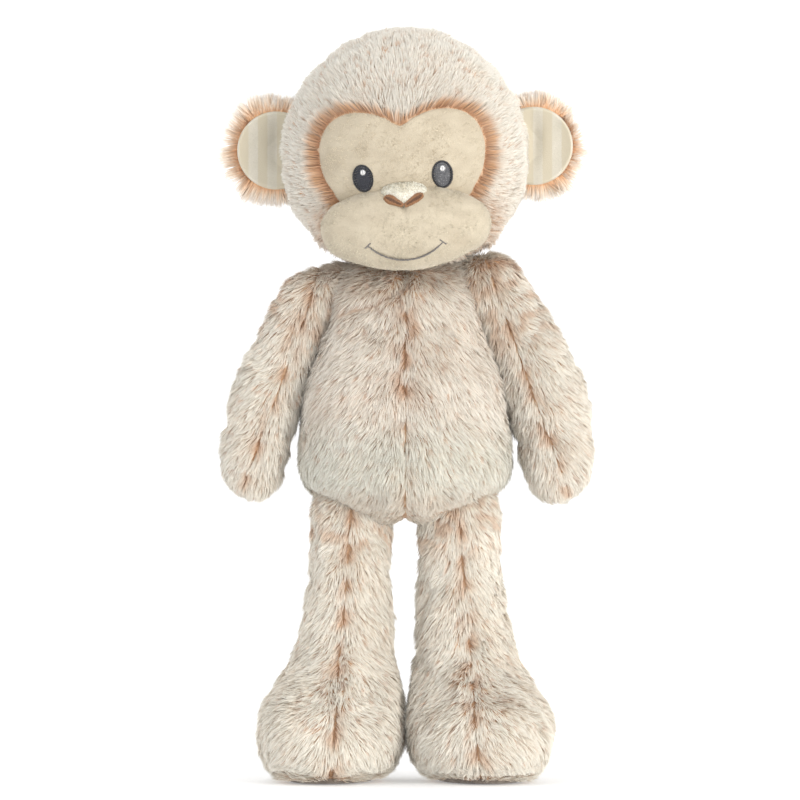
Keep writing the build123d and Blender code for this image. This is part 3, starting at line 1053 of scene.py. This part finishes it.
def fuzz(name, base, per_mm2, middle, seed, keep, tone=1.0):
    """Velour pile: very short hairs stroked away from the middle of the face."""
    roots, normals = scatter(base, per_mm2, seed, lambda p, n: keep(to_face(p), n @ face_axes.T))
    flow = (to_face(roots) - np.array(middle) * mm) * np.array([1.0, 1.0, 0.3])
    clouds, specks = wobble(roots, 9 * mm, seed + 2)[:, :1], wobble(roots, 1.6 * mm, seed + 3)[:, :1]
    shade = 1 + 0.05 * clouds + 0.1 * specks
    random = np.random.default_rng(seed + 4)
    pale = linear(214, 203, 182) * shade * tone * random.uniform(0.88, 1.1, (len(roots), 1))
    hairs = fur(
        name, roots, normals, flow @ face_axes, 1.3 * mm, 0.42, (pale * 0.95, pale, pale * 1.05), seed + 1,
        width=0.3, tuft=8, gather=0.3, bends=1, mess=0.3, material=nose_pile_material,
    )
    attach(hairs, "head")


def brow_keep(p, n):
    on_panel = (brow_share(p[:, :2]) < 0.99) & (n[:, 2] > 0.2)
    return on_panel & (eye_share(p) > 1.02) & (muzzle_share(p) > 1)


fuzz("brow_pile", brow_panel(), velour_per_mm2, (0, -30, 50), 81, brow_keep)


def muzzle_surface(u, angle, extra=0.0):
    """A point on the muzzle: across, and round from straight up through forward to straight down."""
    radius = muzzle_reach(u) + extra
    up, ahead = np.cos(angle), np.sin(angle)
    point = np.stack([u, up * radius, ahead * radius], -1)
    return point + muzzle_centre


def muzzle_panel():
    """The velour muzzle: plump, with a soft dart under the nose and puckers along the seam above."""
    columns, rows = 160, 140
    swing = np.linspace(-math.pi / 2 + 0.01, math.pi / 2 - 0.01, rows)
    across = np.sin(swing) * muzzle_half
    angles = full_circle(columns)
    u, angle = np.meshgrid(across, angles, indexing="ij")
    points = muzzle_surface(u, angle).reshape(-1, 3)
    outward = unit((points - muzzle_centre) * np.array([0.35, 1, 1]))
    u, angle = u.ravel(), angle.ravel()
    below_nose = bell(u, 1.6 * mm) * bell(angle - 1.05, 0.28)
    dart = -1.5 * mm * below_nose
    cheeks = 0.8 * mm * bell(np.abs(u) - 17 * mm, 11 * mm) * bell(angle - 1.5, 0.7)
    seam = bell(angle - 0.35, 0.3)
    pucker = 0.35 * mm * seam * np.sin(u / (2.1 * mm)) * bell(u, 24 * mm)
    soft = 0.35 * mm * wobble(points, 22 * mm, 5)[:, 0]
    points = points + outward * (dart + cheeks + pucker + soft)[:, None]
    piece = make_mesh("muzzle_velour", from_face(points), [grid_faces(rows, columns)], velour)
    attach(piece, "head")
    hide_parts("muzzle_panel")
    return piece


fuzz(
    "muzzle_pile", muzzle_panel(), velour_per_mm2, (0, -22, 50), 91,
    lambda p, n: (n[:, 2] > -0.35) & (mouth_distance(p) > 0.7 * mm), tone=np.array([0.94, 0.97, 0.99]),
)

# Embroidery: threads laid side by side on a surface


def threads(name, starts, ends, lift, radius, material, surface):
    """Satin stitches as separate bowed threads between pairs of face points."""
    random = np.random.default_rng(3)
    steps, corners = 7, 6
    starts, ends = with_depth(starts), with_depth(ends)
    t = np.linspace(0, 1, steps)[None, :, None]
    line = starts[:, None] * (1 - t) + ends[:, None] * t
    line = line + random.normal(size=(len(starts), 1, 3)) * np.array([0.04, 0.04, 0.0]) * mm
    flat = line.reshape(-1, 3)
    depth = surface(flat[:, :2]).reshape(len(starts), steps)
    bow = np.sin(np.pi * np.clip(t[..., 0], 0.0, 1.0)) ** 0.5
    line[..., 2] = depth - 0.25 * mm + lift * bow
    way = unit(ends - starts)[:, None, :]
    side_way = unit(np.cross(way, np.array([0.0, 0.0, 1.0])))
    up_way = np.cross(side_way, way)
    rings = []
    taper = (0.35 + 0.65 * np.sin(np.pi * np.linspace(0.06, 0.94, steps)) ** 0.35)[None, :, None]
    for corner in range(corners):
        angle = corner * 2 * math.pi / corners
        rings.append(line + (side_way * math.cos(angle) + up_way * math.sin(angle)) * radius * taper)
    points = np.stack(rings, 2).reshape(-1, 3)
    base = (np.arange(len(starts)) * steps * corners)[:, None, None]
    quads = (grid_faces(steps, corners)[None] + base).reshape(-1, 4)
    caps = np.concatenate([np.arange(corners)[None, ::-1], (steps - 1) * corners + np.arange(corners)[None]])
    ends_caps = (caps[None] + base).reshape(-1, corners)
    piece = make_mesh(name, from_face(points), [quads, ends_caps], material)
    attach(piece, "head")
    return piece


def brow_depth(uv):
    return np.sqrt(head_radius**2 - (uv**2).sum(1)) + 1.15 * mm


def muzzle_depth(uv):
    """How far forward the muzzle's front is at each face point."""
    u = np.clip(uv[:, 0], -muzzle_half, muzzle_half)
    radius = muzzle_reach(u) + 0.5 * mm
    drop = np.clip((uv[:, 1] - muzzle_centre[1]) / radius, -0.999, 0.999)
    return muzzle_centre[2] + np.sqrt(1 - drop**2) * radius


def with_depth(points):
    return np.concatenate([points, np.zeros((len(points), 1))], 1)


def eye(name, side, tilt, fill_material):
    centre = eye_centre(side)
    ring = 1.25 * mm
    around = full_circle(96)
    edge = np.stack([np.cos(around), np.sin(around)], 1)
    outer = centre + turned(edge * eye_half, tilt)
    inner = centre + turned(edge * (eye_half - ring), tilt)
    outline = threads(
        f"eye_ring_{name}", outer, inner, 0.8 * mm, 0.24 * mm, eye_dark, brow_depth
    )
    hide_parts(f"eye_outline_{name}")

    heights = np.linspace(-0.97, 0.97, 29)
    reach = np.sqrt(1 - heights**2)
    inside = eye_half - ring * 0.4
    left = centre + turned(np.stack([-reach * inside[0], heights * inside[1]], 1), tilt)
    right = centre + turned(np.stack([reach * inside[0], heights * inside[1] + 0.1 * mm], 1), tilt)
    fill = threads(
        f"eye_satin_{name}", left, right, 0.6 * mm, 0.26 * mm, fill_material,
        brow_depth,
    )
    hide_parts(f"eye_fill_{name}")

    needle = centre + turned(edge[::3] * (eye_half - ring * 0.95), tilt)
    step = turned(edge[::3], tilt) * 0.16 * mm
    specks = threads(
        f"eye_specks_{name}", needle - step, needle + step, 1.0 * mm, 0.09 * mm, eye_speck,
        brow_depth,
    )
    # painted sheen: pale flecks over the fill of the lighter eye
    if side > 0:
        random = np.random.default_rng(61)
        angle = random.uniform(0, 2 * math.pi, (60, 1))
        share = np.sqrt(random.uniform(0, 0.7, (60, 1)))
        inward = np.concatenate([np.cos(angle), np.sin(angle)], 1) * share
        spot = centre + turned(inward * (eye_half - ring), tilt)
        way = random.normal(size=(60, 2)) * 0.25 * mm
        flecks = threads(
            f"eye_painted_sheen_flecks_{name}", spot - way, spot + way, 0.95 * mm, 0.08 * mm, eye_speck,
            brow_depth,
        )

    spark = centre + np.array([0.2, 2.7]) * mm
    across = np.linspace(-0.9, 0.9, 7)
    reach = np.sqrt(1 - across**2)
    low = spark + turned(np.stack([across * 1.15 * mm, -reach * 1.75 * mm], 1), tilt)
    high = spark + turned(np.stack([across * 1.15 * mm, reach * 1.75 * mm], 1), tilt)
    shine = threads(
        f"eye_spark_{name}", low, high, 1.2 * mm, 0.22 * mm, eye_white, brow_depth
    )
    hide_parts(f"eye_highlight_{name}")


# the toy's left eye gets the lighter fill, with painted sheen
for (name, side, tilt), fill_material in zip(eye_places, (eye_fill_painted_sheen, eye_fill_unsheened)):
    eye(name, side, tilt, fill_material)


def mouth():
    """A smile in one line of close, slanted stitches, with a tick at each end."""
    limit = math.asin(mouth_half / mouth_radius)
    angles = np.linspace(-limit, limit, 74)
    middle = mouth_centre + mouth_radius * np.stack([np.sin(angles), -np.cos(angles)], 1)
    along = np.stack([np.cos(angles), np.sin(angles)], 1)
    outward = np.stack([np.sin(angles), -np.cos(angles)], 1)
    reach = (outward * (0.36 + 0.08 * np.sin(angles * 60))[:, None] + along * 0.25) * mm
    starts, ends = [middle - reach], [middle + reach]
    for side in (-1, 1):
        end = np.array([side * mouth_half, mouth_corner])
        tick = np.array([side * math.cos(math.radians(38)), -math.sin(math.radians(38))])
        places = np.linspace(-1.6, 1.6, 9)[:, None] * mm
        line = end + tick * places
        normal = np.array([-tick[1], tick[0]])
        starts.append(line - normal * 0.42 * mm)
        ends.append(line + normal * 0.42 * mm)
    starts, ends = np.concatenate(starts), np.concatenate(ends)
    piece = threads(
        "mouth_thread", starts, ends, 0.55 * mm, 0.27 * mm, mouth_grey, muzzle_depth
    )
    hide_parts("mouth_stitch")


mouth()

# Nose

nose_centre = np.array([0.3, -24.0, 54.0]) * mm
nose_half = np.array([11.0, 8.3, 4.6]) * mm
slope = math.radians(39)
nose_axes = np.array(
    [[1, 0, 0], [0, math.cos(slope), -math.sin(slope)], [0, math.sin(slope), math.cos(slope)]]
)


def nose():
    rows, columns = 40, 64
    ball = ball_directions(rows, columns, 0.02)
    narrowed = 1 - 0.22 * np.clip(-ball[:, 1], 0, 1) + 0.05 * ball[:, 1]
    ball[:, 0] *= narrowed
    points = (ball * nose_half) @ nose_axes + nose_centre
    piece = make_mesh("nose_pad", from_face(points), [grid_faces(rows, columns)], nose_velour)
    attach(piece, "head")
    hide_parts("nose_patch")

    def keep(places, normals):
        face = to_face(places)
        return (muzzle_share(face) > 1.0) & (np.linalg.norm(face, axis=1) > head_radius)

    roots, normals = scatter(piece, velour_per_mm2, 71, keep)
    pale = np.broadcast_to(linear(255, 252, 240), roots.shape)
    flow = (to_face(roots) - nose_centre) * np.array([1.0, 1.0, 0.2])
    hairs = fur(
        "nose_fuzz", roots, normals, flow @ face_axes, 1.8 * mm, 0.34, (pale * 0.97, pale, pale),
        72, width=0.3, tuft=6, gather=0.3, material=nose_pile_material,
    )
    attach(hairs, "head")


nose()


def nose_depth(uv):
    """The front of the nose or of the muzzle, whichever is further forward."""
    flat = muzzle_depth(uv)
    steps = np.linspace(50, 66, 65) * mm
    places = np.concatenate(
        [np.repeat(uv, len(steps), 0), np.tile(steps, len(uv))[:, None]], 1
    )
    local = (places - nose_centre) @ nose_axes.T / nose_half
    inside = (np.linalg.norm(local, axis=1) < 1).reshape(len(uv), -1)
    front = np.where(inside.any(1), steps[len(steps) - 1 - inside[:, ::-1].argmax(1)], 0)
    return np.maximum(front + 0.3 * mm, flat)


def nostrils():
    """Two leaves of satin stitch that meet below the nose, with darker thread down their middles."""
    shades = (("nostril_satin", 1.0, 0.9, nostril_brown), ("nostril_shade", 0.5, 1.15, nostril_dark))
    for name, size, lift, material in shades:
        starts, ends = [], []
        for side in (-1, 1):
            outer = np.array([0.3 + side * 9.2, -24.2]) * mm
            inner = np.array([0.3 + side * 0.2, -29.2]) * mm
            way = unit(inner - outer)
            normal = np.array([-way[1], way[0]])
            shares = np.linspace(0.03, 0.97, 34)
            shares = 0.45 + (shares - 0.45) * (0.6 + 0.4 * size)
            middle = outer + (inner - outer) * shares[:, None]
            round_end = np.sqrt(1 - (np.maximum(0.38 - shares, 0) / 0.38) ** 2)
            taper = 1 - 0.6 * np.maximum(shares - 0.38, 0) / 0.62
            reach = (2.4 * size * mm * round_end * taper)[:, None]
            starts.append(middle - normal * reach - way * 0.2 * mm)
            ends.append(middle + normal * reach + way * 0.2 * mm)
        piece = threads(
            name, np.concatenate(starts), np.concatenate(ends), lift * mm, 0.24 * mm,
            material, nose_depth,
        )
        if size == 1.0:
            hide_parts("nostrils")


nostrils()

# Ears


def ear(name, side):
    low, high = box(f"ear_lining_{name}", f"ear_back_{name}")
    radius = (high[2] - low[2]) / 2
    depth = (low[1] + high[1]) / 2
    height = (low[2] + high[2]) / 2
    tip = max(abs(low[0]), abs(high[0]))
    root = min(abs(low[0]), abs(high[0]))
    middle = tip - radius

    def outline(angle, inset):
        """The ear's edge, flat where it meets the head, as seen from in front."""
        x = middle + np.cos(angle) * (radius - inset)
        z = np.sin(angle) * (radius - inset)
        on_head = np.sqrt(head_radius**2 - z**2) - 1.0 * mm
        return np.maximum(x, on_head), z

    columns = 96
    around = full_circle(columns)
    hub = root + 0.4 * (tip - root)
    profile = [
        (0.02, 2.6), (0.3, 2.6), (0.55, 2.4), (0.75, 1.2), (0.88, -1.0), (0.95, -2.4), (1.0, -1.8),
        (1.02, 0.6), (0.97, 3.0), (0.85, 4.3), (0.6, 4.9), (0.3, 5.0), (0.02, 5.0),
    ]
    rows = []
    for share, y in profile:
        x, z = outline(around, 1.0 * mm)
        across = side * (hub + (x - hub) * share)
        rows.append(np.stack([across, np.full(columns, depth + y * mm), height + z * share], 1))
    faces = grid_faces(len(profile), columns)[:, ::side]
    base = make_mesh(f"ear_skin_{name}", np.concatenate(rows), [faces], backing)
    subdivided(base)
    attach(base, f"ear_{name}")
    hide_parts(f"ear_back_{name}", f"ear_wadding_{name}")

    shares = np.linspace(0.001, 1.0, 34)
    rows = []
    for layer in (0.0, 0.9):
        for share in shares if layer == 0 else shares[::-1]:
            x, z = outline(around, 0.9 * mm)
            x = hub + (x - hub) * share
            z = z * share
            cup = -1.4 - 3.6 * share**2.2 + 2.2 * (max(0, share - 0.92) / 0.08) ** 2
            fold = 2.6 * bell(x - root - 3 * mm, 4.0 * mm) * (1 - 0.4 * share)
            crease = 1.3 * np.sin(z / (5.5 * mm) + 1.0) * bell(x - root - 3 * mm, 5 * mm)
            rows.append(np.stack([side * x, depth + (cup + fold + crease + layer) * mm, height + z], 1))
    faces = grid_faces(len(rows), columns)[:, ::side]
    inner = make_mesh(f"ear_cloth_{name}", np.concatenate(rows), [faces], lining)
    subdivided(inner)
    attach(inner, f"ear_{name}")
    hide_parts(f"ear_lining_{name}")

    centre = np.array([side * hub, depth, height])

    def keep(points, normals):
        flat = points - centre
        share = np.hypot(flat[:, 0], flat[:, 2]) / radius
        front = points[:, 1] < depth + 2.5 * mm
        beyond_head = np.linalg.norm(points - head_centre, axis=1) > head_radius + 0.5 * mm
        return (~front | (share > 0.78)) & beyond_head

    roots, normals = scatter(base, fringe_per_mm2, 500 + side, keep)
    away = roots - np.array([side * middle, depth, height])
    away[:, 1] = np.where(roots[:, 1] < depth, 0.02 * radius, 0.3 * radius)
    away = away / radius
    rim = smooth_step((np.hypot(roots[:, 0] - centre[0], roots[:, 2] - centre[2]) / radius - 0.45) / 0.4)
    root_colour = np.broadcast_to(linear(232, 178, 130), roots.shape)
    middle_colour = np.broadcast_to(linear(251, 230, 206), roots.shape)
    tip_colour = np.broadcast_to(linear(255, 252, 248), roots.shape)
    outward = smooth_step((np.abs(roots[:, 0]) - middle) / radius)
    length = (6.0 + 3.6 * rim + (3.2 - 1.1 * side) * outward) * mm
    fringe = fur(
        f"ear_fringe_{name}", roots, normals, away, length, 0.2, (root_colour, middle_colour, tip_colour),
        520 + side, bends=3, width=0.36, tuft=14, gather=0.5, mess=0.2, flat=False,
    )
    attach(fringe, f"ear_{name}")


for name, side in sides.items():
    ear(name, side)

# CAD pieces that stay: the seam threads; the care label is rebuilt as ribbon

for node in ("neck_seam", "closing_stitches", "shoulder_seam_left", "shoulder_seam_right"):
    frame["nodes"][node].data.materials.clear()
    frame["nodes"][node].data.materials.append(seam_cream)


def care_label():
    """A blank folded ribbon that stands out of the back seam and curls at its end."""
    low, high = box("care_label")
    steps, height = 24, 12
    out = np.linspace(0, 1, steps)
    up = np.linspace(0, 1, height)
    grid_out, grid_up = np.meshgrid(out, up, indexing="ij")
    curl = 1.6 * mm * grid_out**2 * (1 + 0.3 * grid_up)
    middle = (low[0] + high[0]) / 2
    layers = []
    for offset in (0.25, -0.25):
        x = middle + curl + offset * mm
        y = low[1] - 2 * mm + grid_out * (high[1] - low[1] + 2 * mm)
        z = low[2] + grid_up * (high[2] - low[2]) - 0.8 * mm * grid_out
        layers.append(np.stack([x, y, z], -1).reshape(-1, 3))
    front = grid_faces(steps, height, closed=False)
    back = front[:, ::-1] + steps * height
    ring = np.concatenate(
        [
            np.arange(steps) * height,
            (steps - 1) * height + np.arange(1, height),
            np.arange(steps - 2, -1, -1) * height + height - 1,
            np.arange(height - 2, 0, -1),
        ]
    )
    after = np.roll(ring, -1)
    rim = np.stack([after, ring, ring + steps * height, after + steps * height], 1)
    piece = make_mesh("blank_label", np.concatenate(layers), [front, back, rim], ribbon)
    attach(piece, "torso")
    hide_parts("care_label")


care_label()

# Studio


def studio():
    around = full_circle(96)
    sweep = [
        (0.0005, 0), (0.6, 0), (1.5, 0), (3.2, 0), (3.6, 0.04), (4.0, 0.2), (4.3, 0.5), (4.5, 1.0),
        (4.6, 2.0), (4.6, 4.0),
    ]
    rings = [np.stack([np.cos(around) * r, np.sin(around) * r, np.full(96, z)], 1) for r, z in sweep]
    floor = make_mesh("floor", np.concatenate(rings), [grid_faces(len(sweep), 96)], floor_material())

    world = bpy.data.worlds.new("studio")
    bpy.context.scene.world = world
    world.use_nodes = True
    world.node_tree.nodes["Background"].inputs["Color"].default_value = (1, 1, 1, 1)
    world.node_tree.nodes["Background"].inputs["Strength"].default_value = 0.83

    def lamp(name, place, target, size, watts, tint):
        light = bpy.data.lights.new(name, "AREA")
        light.shape = "DISK"
        light.size = size
        light.energy = watts
        light.color = tint
        holder = bpy.data.objects.new(name, light)
        holder.location = place
        holder.rotation_euler = (Vector(target) - Vector(place)).to_track_quat("-Z", "Y").to_euler()
        bpy.context.scene.collection.objects.link(holder)

    aim = (0, 0, 0.2)
    lamp("key", (1.7, -2.0, 0.45), (0, 0, 0.14), 0.8, 30, (1, 0.96, 0.9))
    lamp("top", (-0.3, -0.3, 2.4), aim, 1.0, 5, (0.96, 0.98, 1))

    camera = bpy.data.cameras.new("camera")
    distance, seen_width, sensor = 3.0, 0.3792, 36
    camera.sensor_width = sensor
    camera.lens = sensor * distance / seen_width
    camera.clip_end = 20
    holder = bpy.data.objects.new("camera", camera)
    holder.location = (-0.0024, -distance, 0.1801)
    holder.rotation_euler = (math.pi / 2, 0, 0)
    bpy.context.scene.collection.objects.link(holder)
    bpy.context.scene.camera = holder
    bpy.context.scene.view_settings.view_transform = "Standard"


studio()
